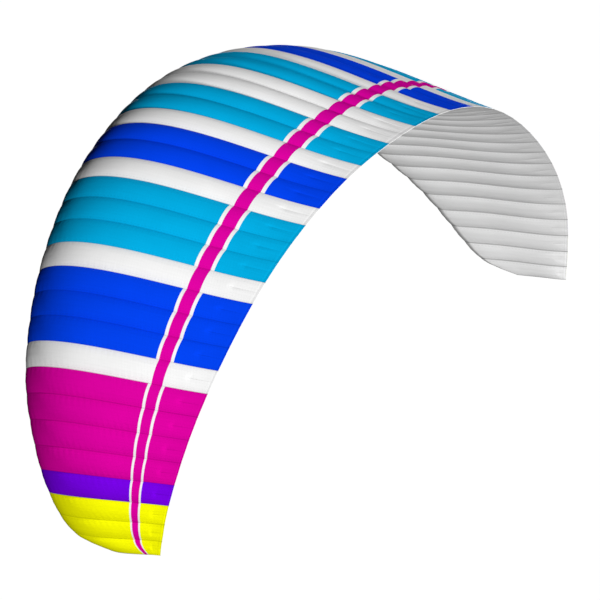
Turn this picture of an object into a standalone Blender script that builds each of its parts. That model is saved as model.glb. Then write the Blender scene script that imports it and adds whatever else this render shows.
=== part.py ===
"""A paraglider wing, inflated as it flies: two sheets of cloth held apart by 47 ribs, 46 cells side by side.

Metres, +Z up. The span lies along X, with the pilot's left at +X, and the wing flies toward -Y. The origin is
under the middle rib, where the lines pull on the lower sheet. The wing is drawn with its middle chord along +Y
and its nose at zero, and one empty then pitches it into its flying attitude and brings the origin to the lines.
"""
import math
from typing import NamedTuple

import bmesh
import bpy
import numpy as np
from mathutils import Matrix

# Planform. The cells' widths add up to the span of the wing laid flat.
FLAT_SPAN = 11.2
CELLS = 46
CELL_NARROWING = 0.5  # how much narrower the last cell is than the middle one
NARROWING_POWER = 5.0  # how near to the tip the narrowing sets in
FLYING_PITCH = math.radians(5.0)  # nose down
ARC_STEPS = 400  # steps in which the arch is followed from the middle to the tip

# Profile, as shares of the chord
NOSE_FULLNESS = 0.73  # under 1 brings the deepest point forward and makes the nose blunt
CAMBER = 0.34
REFLEX = 0.85  # where the middle line of the profile turns from arched to hollow
LINE_PULL = 0.30  # how far back the lines pull on the middle rib

# Cloth
SHEET = 0.002
GAP = 0.0003  # between pieces that are sewn to each other
BILLOW = 0.135  # rise of a cell between its ribs, as a share of its width
NOSE_BILLOW = 0.2  # share of that rise at the very nose
NOSE_REACH = 0.30  # share of the chord over which the rise comes to its full height
HEM_SHARPNESS = 6.0  # the higher, the nearer to the trailing-edge hem the rise dies away
RIB_END = 0.97  # the ribs stop short of the trailing-edge hem

# Shares of the chord at which the sheets are drawn, from the nose to the trailing edge
UPPER_STATIONS = (0.0, 0.012, 0.045, 0.11, 0.21, 0.35, 0.52, 0.70, 0.86, 1.0)
LOWER_STATIONS = (0.0, 0.012, 0.05, 0.16, 0.36, 0.64, 0.86, 1.0)
CLOSED_TIP_CELLS = 5  # cells at each tip whose nose has no air intake

# The sheets are sewn up from these groups of cells, given by the ribs at their two ends
PATCHES = {
    "left_tip": (0, 7),
    "left_middle": (7, 15),
    "left_inner": (15, 23),
    "right_inner": (23, 31),
    "right_middle": (31, 39),
    "right_tip": (39, 46),
}

COLOURS = {
    "white": (0.84, 0.84, 0.85),
    "grey": (0.72, 0.72, 0.73),
    "cyan": (0.0, 0.42, 0.80),
    "blue": (0.0, 0.06, 1.0),
    "magenta": (0.76, 0.0, 0.34),
}
UPPER_COLOURS = {"tip": "magenta", "middle": "blue", "inner": "cyan"}


class Station(NamedTuple):
    """One row of the plan: where it is, as a share of the half span, and what the wing is like there."""

    share: float
    lean_deg: float
    chord: float
    sweep: float
    depth: float


PLAN = (
    Station(share=0.0, lean_deg=0, chord=2.86, sweep=0.0, depth=0.210),
    Station(share=0.25, lean_deg=16, chord=2.72, sweep=0.07, depth=0.204),
    Station(share=0.5, lean_deg=34.3, chord=2.41, sweep=0.235, depth=0.188),
    Station(share=0.7, lean_deg=47.5, chord=2.03, sweep=0.475, depth=0.166),
    Station(share=0.84, lean_deg=64, chord=1.60, sweep=0.78, depth=0.146),
    Station(share=0.93, lean_deg=79, chord=1.235, sweep=1.04, depth=0.132),
    Station(share=0.975, lean_deg=86, chord=0.97, sweep=1.255, depth=0.124),
    Station(share=1.0, lean_deg=87, chord=0.56, sweep=1.64, depth=0.120),
)


class Rib(NamedTuple):
    """A rib's place on the arch, its lean from upright, and its size.

    Its share of the half span is positive on the left half and negative on the right one.
    """

    share: float
    x: float
    z: float
    lean: float
    chord: float
    sweep: float
    depth: float


def plan_column(column, shares, odd=False):
    """A column of the plan at the given shares of the half span, on a smooth curve that never overshoots.

    The other half of the wing is the mirror image, with its sign turned round for an odd column.
    """
    half_shares = np.array([row.share for row in PLAN])
    half_values = np.array([getattr(row, column) for row in PLAN], dtype=float)
    sign = -1.0 if odd else 1.0
    x = np.concatenate([-half_shares[:0:-1], half_shares])
    y = np.concatenate([sign * half_values[:0:-1], half_values])
    step = np.diff(x)
    rise = np.diff(y) / step
    slope = np.zeros_like(y)
    for i in range(1, len(x) - 1):
        if rise[i - 1] * rise[i] > 0:
            before = step[i - 1] + 2 * step[i]
            after = 2 * step[i - 1] + step[i]
            slope[i] = (before + after) / (before / rise[i] + after / rise[i - 1])
    slope[-1] = ((2 * step[-1] + step[-2]) * rise[-1] - step[-1] * rise[-2]) / (step[-1] + step[-2])
    slope[0] = -sign * slope[-1]
    cell = np.clip(np.searchsorted(x, shares, side="right") - 1, 0, len(step) - 1)
    t = (shares - x[cell]) / step[cell]
    start = (1 + 2 * t) * (1 - t) ** 2 * y[cell] + t * (1 - t) ** 2 * step[cell] * slope[cell]
    end = t**2 * (3 - 2 * t) * y[cell + 1] - t**2 * (1 - t) * step[cell] * slope[cell + 1]
    return start + end


def half_shares():
    """The shares of the half span at which the ribs stand, from the middle rib to the tip rib."""
    half = CELLS // 2
    middles = (np.arange(half) + 0.5) / half
    widths = 1 - CELL_NARROWING * middles**NARROWING_POWER
    return np.concatenate([[0.0], np.cumsum(widths)]) / widths.sum()


def make_ribs():
    """All ribs, from the left tip at +X to the right tip."""
    fine = np.linspace(0, 1, ARC_STEPS + 1)
    lean = np.radians(plan_column("lean_deg", fine, odd=True))
    reach = FLAT_SPAN / 2 / ARC_STEPS
    x = np.concatenate([[0.0], np.cumsum(np.cos(lean[1:]) + np.cos(lean[:-1]))]) * reach / 2
    z = -np.concatenate([[0.0], np.cumsum(np.sin(lean[1:]) + np.sin(lean[:-1]))]) * reach / 2
    shares = half_shares()
    half = [
        Rib(*row)
        for row in zip(
            shares,
            np.interp(shares, fine, x),
            np.interp(shares, fine, z),
            np.interp(shares, fine, lean),
            plan_column("chord", shares),
            plan_column("sweep", shares),
            plan_column("depth", shares),
        )
    ]
    return half[:0:-1] + [rib._replace(share=-rib.share, x=-rib.x, lean=-rib.lean) for rib in half]


def halfway(rib, neighbour):
    """The wing's section halfway between two ribs: straight between them, but sized and swept by the plan."""
    share = (rib.share + neighbour.share) / 2
    return Rib(
        share=share,
        x=(rib.x + neighbour.x) / 2,
        z=(rib.z + neighbour.z) / 2,
        lean=(rib.lean + neighbour.lean) / 2,
        chord=float(plan_column("chord", share)),
        sweep=float(plan_column("sweep", share)),
        depth=float(plan_column("depth", share)),
    )


def profile(rib, shares, side):
    """Outer line of the rib's upper (side 1) or lower (side -1) surface, as rows of (y, z) from its own nose.

    The surfaces stay two sheets and a gap apart at the trailing edge, and half a gap each at the nose.
    """
    s = np.array(shares, dtype=float)
    full = s**NOSE_FULLNESS
    half_depth = 5 * rib.depth * (
        0.2969 * np.sqrt(full) - 0.1260 * full - 0.3516 * full**2 + 0.2843 * full**3 - 0.1036 * full**4
    )
    middle = CAMBER * s * (1 - s) * (REFLEX - s)
    hem = GAP / 2 + SHEET * s
    return np.column_stack([rib.chord * s, rib.chord * (middle + side * half_depth) + side * hem])


def outward(line, side):
    """Outward steps, in (y, z), that move a line of the profile by one unit, mitred at its corners.

    At the nose the step is straight forward, so that the upper and the lower sheet end on one plane there.
    """
    along = np.diff(line, axis=0)
    along /= np.linalg.norm(along, axis=1)[:, None]
    normal = side * np.column_stack([-along[:, 1], along[:, 0]])
    first, last = normal[:1], normal[-1:]
    before, after = np.vstack([first, normal]), np.vstack([normal, last])
    mitre = before + after
    mitre *= 2 / (mitre**2).sum(axis=1)[:, None]
    if line[0, 0] == 0:
        mitre[0] = (-1.0, 0.0)
    return mitre


def on_wing(rib, line):
    """Rows of (y, z) in the rib's own plane, as points of the wing."""
    y, z = line[:, 0], line[:, 1]
    return np.column_stack([rib.x + z * math.sin(rib.lean), rib.sweep + y, rib.z + z * math.cos(rib.lean)])


def spanwise(rib, distance):
    """A step square to the rib's plane, toward the left tip."""
    return distance * np.array([math.cos(rib.lean), 0.0, -math.sin(rib.lean)])


def rib_lines(rib, stations, side):
    """The sheet's outer and inner line over a rib."""
    line = profile(rib, stations, side)
    step = outward(line, side)
    return on_wing(rib, line), on_wing(rib, line - SHEET * step)


def bulge(stations):
    """How much of its full rise a cell has at each station."""
    s = np.array(stations, dtype=float)
    front = NOSE_BILLOW + (1 - NOSE_BILLOW) * np.sin(math.pi / 2 * np.minimum(1.0, s / NOSE_REACH))
    return front * (1 - s**HEM_SHARPNESS)


def crest_lines(rib, neighbour, stations, side):
    """The sheet's outer and inner line along the crest of the cell between two ribs."""
    skin, lining = rib_lines(halfway(rib, neighbour), stations, side)
    width = math.dist((rib.x, rib.z), (neighbour.x, neighbour.z))
    rise = (skin - lining) / SHEET * (BILLOW * width * bulge(stations))[:, None]
    return skin + rise, lining + rise


def sheet_lines(ribs, stations, side):
    """Outer and inner lines of a patch from its left rib to its right one, with the crest of each cell between."""
    outer, inner = [], []
    last = len(ribs) - 1
    for i, rib in enumerate(ribs):
        skin, lining = rib_lines(rib, stations, side)
        edge = (i == 0) - (i == last)
        past_rib = edge * (SHEET / 2 if abs(rib.x) == RIBS[0].x else -GAP / 2)
        outer.append(skin + spanwise(rib, past_rib))
        inner.append(lining + spanwise(rib, past_rib))
        if i < last:
            crest, crest_lining = crest_lines(rib, ribs[i + 1], stations, side)
            outer.append(crest)
            inner.append(crest_lining)
    return np.array(outer), np.array(inner)


def closed_cloth(outer, inner, present):
    """One closed body between an outer and an inner grid of points, with cloth only where present says so.

    Both grids are cut into triangles along the same diagonals, so that the cloth is as thick everywhere.
    """
    rows, columns = outer.shape[:2]
    mesh = bmesh.new()
    skins = []
    for grid in (outer, inner):
        skins.append({})
        for i, j in np.ndindex(rows, columns):
            touching = present[max(i - 1, 0):i + 1, max(j - 1, 0):j + 1]
            if touching.any():
                skins[-1][i, j] = mesh.verts.new(grid[i, j])
    top, bottom = skins
    for i, j in zip(*np.nonzero(present)):
        a, b, c, d = (i, j), (i + 1, j), (i + 1, j + 1), (i, j + 1)
        for corners in (((a, b, c), (a, c, d)) if i % 2 == 0 else ((a, b, d), (b, c, d))):
            mesh.faces.new([top[k] for k in corners])
            mesh.faces.new([bottom[k] for k in reversed(corners)])
        sides = (((a, b), (0, -1)), ((b, c), (1, 0)), ((c, d), (0, 1)), ((d, a), (-1, 0)))
        for (start, end), (di, dj) in sides:
            ni, nj = i + di, j + dj
            if not (0 <= ni < rows - 1 and 0 <= nj < columns - 1 and present[ni, nj]):
                mesh.faces.new([top[end], top[start], bottom[start]])
                mesh.faces.new([top[end], bottom[start], bottom[end]])
    return mesh


def upper_sheet(ribs):
    """Upper sheet over a group of cells, from the nose to the trailing edge."""
    outer, inner = sheet_lines(ribs, UPPER_STATIONS, 1)
    return closed_cloth(outer, inner, np.ones((len(outer) - 1, len(UPPER_STATIONS) - 1), dtype=bool))


def lower_sheet(ribs, first_cell):
    """Lower sheet under a group of cells. Its first strip, at the nose, is left out where the cell takes in air."""
    outer, inner = sheet_lines(ribs, LOWER_STATIONS, -1)
    present = np.ones((len(outer) - 1, len(LOWER_STATIONS) - 1), dtype=bool)
    for half_cell in range(len(present)):
        cell = first_cell + half_cell // 2
        present[half_cell, 0] = cell < CLOSED_TIP_CELLS or cell >= CELLS - CLOSED_TIP_CELLS
    return closed_cloth(outer, inner, present)


def closing_in(rib, neighbour, stations, side):
    """How far the sheet closes in on the rib over half the rib's thickness, on the neighbour's side of it.

    Each station takes the steeper of the two strips that meet there.
    """
    skin, lining = rib_lines(rib, stations, side)
    crest = crest_lines(rib, neighbour, stations, side)[1]
    across = spanwise(rib, 1.0)
    normal = np.cross(np.diff(lining, axis=0), across)
    normal /= np.linalg.norm(normal, axis=1)[:, None]
    normal *= np.sign((normal * (skin - lining)[1:]).sum(axis=1))[:, None]
    toward_crest = crest - lining
    run = np.abs(toward_crest @ across)
    ahead = -(toward_crest[:-1] * normal).sum(axis=1) / run[:-1]
    behind = -(toward_crest[1:] * normal).sum(axis=1) / run[1:]
    slope = np.maximum(0.0, np.maximum(ahead, behind))
    return np.maximum(np.append(slope, 0.0), np.insert(slope, 0, 0.0)) * SHEET / 2


def rib_outline(rib, neighbour):
    """Outline of the rib's face on a neighbour's side: inside both sheets, and cut off in front of the hem."""
    sides = []
    for stations, side in ((UPPER_STATIONS, 1), (LOWER_STATIONS, -1)):
        line = profile(rib, stations, side)
        inset = np.full(len(line), SHEET + GAP)
        if neighbour:
            inset += closing_in(rib, neighbour, stations, side)
        line = line - inset[:, None] * outward(line, side)
        share = (RIB_END - stations[-2]) / (stations[-1] - stations[-2])
        line[-1] = line[-2] + share * (line[-1] - line[-2])
        sides.append(line)
    upper, lower = sides
    return np.vstack([upper[1:], lower[:0:-1], (upper[:1] + lower[:1]) / 2])


def rib_mesh(number):
    """A rib as a plate of cloth across X, standing on its own nose, each face cut to the sheets beside it."""
    rib = RIBS[number]
    left = RIBS[number - 1] if number > 0 else None
    right = RIBS[number + 1] if number < CELLS else None
    mesh = bmesh.new()
    loops = []
    for neighbour, x in ((left, SHEET / 2), (right, -SHEET / 2)):
        loops.append([mesh.verts.new((x, y, z)) for y, z in rib_outline(rib, neighbour)])
        mesh.faces.new(loops[-1])
    for i in range(len(loops[0])):
        mesh.faces.new([loops[0][i - 1], loops[0][i], loops[1][i], loops[1][i - 1]])
    bmesh.ops.triangulate(mesh, faces=mesh.faces[:])
    return mesh


def cloth_material(name, colour):
    """Ripstop nylon of one colour."""
    material = bpy.data.materials.new(name)
    material.use_nodes = True
    shader = material.node_tree.nodes["Principled BSDF"]
    shader.inputs["Base Color"].default_value = (*COLOURS[colour], 1.0)
    shader.inputs["Roughness"].default_value = 0.55
    shader.inputs["Metallic"].default_value = 0.0
    material.diffuse_color = (*COLOURS[colour], 1.0)
    return material


def add_piece(name, mesh, colour, wing):
    """Makes an object of a finished mesh, with its faces pointing out, and hangs it on the wing."""
    bmesh.ops.recalc_face_normals(mesh, faces=mesh.faces[:])
    data = bpy.data.meshes.new(name)
    mesh.to_mesh(data)
    mesh.free()
    data.materials.append(cloth_material(f"{name}_cloth", colour))
    piece = bpy.data.objects.new(name, data)
    bpy.context.collection.objects.link(piece)
    piece.parent = wing
    return piece


def add_wing(middle_rib):
    """The empty that carries all pieces: it pitches the wing and puts the pull of the lines at the origin."""
    wing = bpy.data.objects.new("wing", None)
    bpy.context.collection.objects.link(wing)
    pull = on_wing(middle_rib, profile(middle_rib, (LINE_PULL,), -1))[0]
    pitch = Matrix.Rotation(FLYING_PITCH, 4, "X")
    wing.matrix_world = pitch @ Matrix.Translation([-c for c in pull])
    return wing


def build():
    for old in list(bpy.data.objects):
        bpy.data.objects.remove(old)
    wing = add_wing(RIBS[CELLS // 2])
    for patch, (first, last) in PATCHES.items():
        ribs = RIBS[first:last + 1]
        add_piece(f"upper_{patch}", upper_sheet(ribs), UPPER_COLOURS[patch.split("_")[1]], wing)
        add_piece(f"lower_{patch}", lower_sheet(ribs, first), "grey", wing)
    for number, rib in enumerate(RIBS):
        piece = add_piece(f"rib_{number:02d}", rib_mesh(number), "white", wing)
        piece.location = (rib.x, rib.sweep, rib.z)
        piece.rotation_euler = (0, rib.lean, 0)


RIBS = make_ribs()
build()
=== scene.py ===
"""The looks of the paraglider wing: sewn sheets, ribs, stitching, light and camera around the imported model.

Metres, +Z up. The span lies along X with the pilot's left at +X, and the wing flies toward -Y. The sheets are
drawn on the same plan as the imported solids, with the middle chord along +Y and its nose at zero. One matrix
then pitches them into the flying attitude and puts the pull of the lines at the origin.
"""
import logging  # noqa: E402
import math  # noqa: E402
from dataclasses import dataclass, field  # noqa: E402
from enum import Enum  # noqa: E402

import bpy  # noqa: E402
import numpy as np  # noqa: E402
from mathutils import Matrix, Quaternion, Vector  # noqa: E402


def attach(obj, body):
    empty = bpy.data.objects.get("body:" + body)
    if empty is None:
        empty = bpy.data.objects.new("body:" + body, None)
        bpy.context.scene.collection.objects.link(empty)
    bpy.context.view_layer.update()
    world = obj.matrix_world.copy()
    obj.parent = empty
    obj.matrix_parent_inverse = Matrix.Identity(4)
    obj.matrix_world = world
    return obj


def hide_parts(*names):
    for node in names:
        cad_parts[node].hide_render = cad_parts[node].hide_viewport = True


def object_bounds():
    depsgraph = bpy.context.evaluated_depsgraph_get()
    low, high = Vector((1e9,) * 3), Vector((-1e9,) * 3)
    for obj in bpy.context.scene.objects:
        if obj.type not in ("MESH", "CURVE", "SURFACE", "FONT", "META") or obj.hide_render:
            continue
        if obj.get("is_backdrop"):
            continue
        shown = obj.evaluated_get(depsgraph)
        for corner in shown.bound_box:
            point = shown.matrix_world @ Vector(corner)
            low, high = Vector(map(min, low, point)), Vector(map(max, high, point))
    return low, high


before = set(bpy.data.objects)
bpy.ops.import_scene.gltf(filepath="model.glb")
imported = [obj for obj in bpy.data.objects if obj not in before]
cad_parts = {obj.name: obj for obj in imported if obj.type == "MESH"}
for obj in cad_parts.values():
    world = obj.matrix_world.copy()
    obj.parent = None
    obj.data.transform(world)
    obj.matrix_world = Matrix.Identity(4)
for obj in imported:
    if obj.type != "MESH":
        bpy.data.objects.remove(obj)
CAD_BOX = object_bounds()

Socket = bpy.types.NodeSocket

LOG = logging.getLogger("paraglider_wing")
ROOT = "root"  # the one body: a wing of cloth has no joints

MATH = "ShaderNodeMath"
CLOTH_UV = "cloth"  # metres across the panel from its middle, and along it from the nose
SEAM_UV = "seam"  # metres to the nearest rib seam, and to the trailing edge
GOLDEN_ANGLE = 2.399963  # turning by it from cell to cell lets no two neighbours fold alike


class Side(Enum):
    """Which of the two sheets a piece of cloth belongs to; the value is the sign of its side of the ribs."""

    UPPER = 1
    LOWER = -1


class Dye(Enum):
    """The colours of cloth, as sRGB hex values."""

    WHITE = "#F1F1F1"
    CYAN = "#00AADF"
    BLUE = "#0042EC"
    MAGENTA = "#DA009E"
    PURPLE = "#7500E2"
    YELLOW = "#FBFC02"
    UNDYED = "#F4F4F4"
    STIFFENED = "#E4E5E8"


# ----------------------------------------------------------------------------------------------------
# Plan of the wing
# ----------------------------------------------------------------------------------------------------


@dataclass(frozen=True)
class PlanRow:
    """One row of the plan: where it is, as a share of the half span, and what the wing is like there."""

    share: float
    lean_deg: float
    chord: float
    sweep: float
    depth: float


@dataclass(frozen=True)
class Rib:
    """A rib's place on the arch, its lean from upright, and its size.

    Its share of the half span is positive on the left half and negative on the right one.
    """

    share: float
    x: float
    z: float
    lean: float
    chord: float
    sweep: float
    depth: float

    def spanwise(self) -> np.ndarray:
        """The unit step square to the rib's plane, toward the left tip."""
        return np.array([math.cos(self.lean), 0.0, -math.sin(self.lean)])

    def upright(self) -> np.ndarray:
        """The unit step up in the rib's plane, square to its chord."""
        return np.array([math.sin(self.lean), 0.0, math.cos(self.lean)])

    def span_to(self, other: "Rib") -> float:
        """The width of a cell between this rib and another."""
        return math.dist((self.x, self.z), (other.x, other.z))

    def on_wing(self, line: np.ndarray) -> np.ndarray:
        """Places points of the rib's own plane on the wing.

        Args:
            line: rows of (y, z) in the rib's plane, from its nose.

        Returns:
            Rows of (x, y, z).
        """
        y, z = line[..., 0], line[..., 1]
        across = self.x + z * math.sin(self.lean)
        return np.stack([across, self.sweep + y, self.z + z * math.cos(self.lean)], axis=-1)

    def turned(self, line: np.ndarray) -> np.ndarray:
        """Turns directions of the rib's own plane onto the wing.

        Args:
            line: rows of (y, z) directions.

        Returns:
            Rows of (x, y, z) directions.
        """
        y, z = line[..., 0], line[..., 1]
        return np.stack([z * math.sin(self.lean), y, z * math.cos(self.lean)], axis=-1)


@dataclass
class Planform:
    """The ribs' places and sizes, worked out from the span, the number of cells and the plan's rows."""

    flat_span: float = 11.2
    cells: int = 46
    cell_narrowing: float = 0.5  # how much narrower than the middle cell a cell at the very tip would be
    narrowing_power: float = 5.0  # the higher, the nearer to the tip the cells narrow
    arc_steps: int = 400
    rows: tuple[PlanRow, ...] = (
        PlanRow(share=0.0, lean_deg=0, chord=2.86, sweep=0.0, depth=0.210),
        PlanRow(share=0.25, lean_deg=16, chord=2.72, sweep=0.07, depth=0.204),
        PlanRow(share=0.5, lean_deg=34.3, chord=2.41, sweep=0.235, depth=0.188),
        PlanRow(share=0.7, lean_deg=47.5, chord=2.03, sweep=0.475, depth=0.166),
        PlanRow(share=0.84, lean_deg=64, chord=1.60, sweep=0.78, depth=0.146),
        PlanRow(share=0.93, lean_deg=79, chord=1.235, sweep=1.04, depth=0.132),
        PlanRow(share=0.975, lean_deg=86, chord=0.97, sweep=1.255, depth=0.124),
        PlanRow(share=1.0, lean_deg=87, chord=0.56, sweep=1.64, depth=0.120),
    )

    def column(self, name: str, shares: np.ndarray, odd: bool = False) -> np.ndarray:
        """A column of the plan on a smooth curve that never overshoots its rows.

        Args:
            name: the column's name.
            shares: shares of the half span to read it at.
            odd: whether the other half of the wing has it with its sign turned round.

        Returns:
            The column's values.
        """
        at = np.array([row.share for row in self.rows])
        values = np.array([getattr(row, name) for row in self.rows], dtype=float)
        sign = -1.0 if odd else 1.0
        x = np.concatenate([-at[:0:-1], at])
        y = np.concatenate([sign * values[:0:-1], values])
        step = np.diff(x)
        rise = np.diff(y) / step
        slope = np.zeros_like(y)
        for i in range(1, len(x) - 1):
            if rise[i - 1] * rise[i] > 0:
                before = step[i - 1] + 2 * step[i]
                after = 2 * step[i - 1] + step[i]
                slope[i] = (before + after) / (before / rise[i] + after / rise[i - 1])
        slope[-1] = ((2 * step[-1] + step[-2]) * rise[-1] - step[-1] * rise[-2]) / (step[-1] + step[-2])
        slope[0] = -sign * slope[-1]
        k = np.clip(np.searchsorted(x, shares, side="right") - 1, 0, len(step) - 1)
        t = (shares - x[k]) / step[k]
        start = (1 + 2 * t) * (1 - t) ** 2 * y[k] + t * (1 - t) ** 2 * step[k] * slope[k]
        end = t**2 * (3 - 2 * t) * y[k + 1] - t**2 * (1 - t) * step[k] * slope[k + 1]
        return start + end

    def rib_shares(self) -> np.ndarray:
        """Works out where the ribs stand.

        Returns:
            Shares of the half span, from the middle rib to the tip rib.
        """
        half = self.cells // 2
        middles = (np.arange(half) + 0.5) / half
        widths = 1 - self.cell_narrowing * middles**self.narrowing_power
        return np.concatenate([[0.0], np.cumsum(widths)]) / widths.sum()

    def ribs(self) -> list[Rib]:
        """Works out all ribs.

        Returns:
            The ribs, from the left tip at +X to the right tip.
        """
        fine = np.linspace(0, 1, self.arc_steps + 1)
        lean = np.radians(self.column("lean_deg", fine, odd=True))
        reach = self.flat_span / 2 / self.arc_steps
        x = np.concatenate([[0.0], np.cumsum(np.cos(lean[1:]) + np.cos(lean[:-1]))]) * reach / 2
        z = -np.concatenate([[0.0], np.cumsum(np.sin(lean[1:]) + np.sin(lean[:-1]))]) * reach / 2
        at = self.rib_shares()
        table = np.column_stack(
            [at, np.interp(at, fine, x), np.interp(at, fine, z), np.interp(at, fine, lean)]
            + [self.column(name, at) for name in ("chord", "sweep", "depth")]
        )
        left = [Rib(*row) for row in table[:0:-1]]
        right = [Rib(-row[0], -row[1], row[2], -row[3], *row[4:]) for row in table]
        return left + right

    def between(self, left: Rib, right: Rib, shares: np.ndarray) -> list[Rib]:
        """The wing's sections between two ribs: straight between them, but sized and swept by the plan.

        Args:
            left: the rib at share 0.
            right: the rib at share 1.
            shares: shares of the way from the left rib to the right one.

        Returns:
            A section for each share.
        """
        at, x, z, lean = (
            (1 - shares) * getattr(left, name) + shares * getattr(right, name)
            for name in ("share", "x", "z", "lean")
        )
        sizes = [self.column(name, at) for name in ("chord", "sweep", "depth")]
        return [Rib(*row) for row in np.column_stack([at, x, z, lean, *sizes])]


@dataclass
class Airfoil:
    """The profile that all ribs share, in shares of the chord."""

    nose_fullness: float = 0.73  # under 1 brings the deepest point forward and makes the nose blunt
    depth_terms: tuple[float, ...] = (0.2969, -0.1260, -0.3516, 0.2843, -0.1036)  # root, powers 1 to 4
    depth_scale: float = 5.0  # those terms make a profile a fifth as deep as its chord
    camber: float = 0.34
    reflex: float = 0.85  # where the middle line of the profile turns from arched to hollow
    sheet: float = 0.002
    gap: float = 0.0003
    lip: float = 0.012  # where the lower sheet begins behind an air intake
    rib_end: float = 0.97
    slope_step: float = 1e-4  # share of the chord over which the profile's slope is measured

    def line(self, rib: Rib, shares: np.ndarray, side: Side) -> np.ndarray:
        """The outer line of one surface over a rib.

        Args:
            rib: the rib.
            shares: shares of the chord.
            side: which surface.

        Returns:
            Rows of (y, z) from the rib's nose.
        """
        full = shares**self.nose_fullness
        shape = self.depth_terms[0] * np.sqrt(full)
        for power, term in enumerate(self.depth_terms[1:], start=1):
            shape = shape + term * full**power
        half_depth = self.depth_scale * rib.depth * shape
        middle = self.camber * shares * (1 - shares) * (self.reflex - shares)
        hem = self.gap / 2 + self.sheet * shares
        height = rib.chord * (middle + side.value * half_depth) + side.value * hem
        return np.column_stack([rib.chord * shares, height])

    def outward(self, rib: Rib, shares: np.ndarray, side: Side) -> np.ndarray:
        """Unit directions square to the profile and out of the wing.

        Args:
            rib: the rib.
            shares: shares of the chord; zero is the nose, where the direction is straight forward.
            side: which surface.

        Returns:
            Rows of (y, z) directions.
        """
        nudge = np.minimum(self.slope_step, shares / 2)
        ahead = self.line(rib, np.minimum(shares + nudge, 1.0), side)
        along = ahead - self.line(rib, shares - nudge, side)
        length = np.linalg.norm(along, axis=1)
        at_nose = length == 0
        along /= np.where(at_nose, 1.0, length)[:, None]
        normal = side.value * np.column_stack([-along[:, 1], along[:, 0]])
        normal[at_nose] = (-1.0, 0.0)
        return normal


# ----------------------------------------------------------------------------------------------------
# Cloth
# ----------------------------------------------------------------------------------------------------


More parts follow.
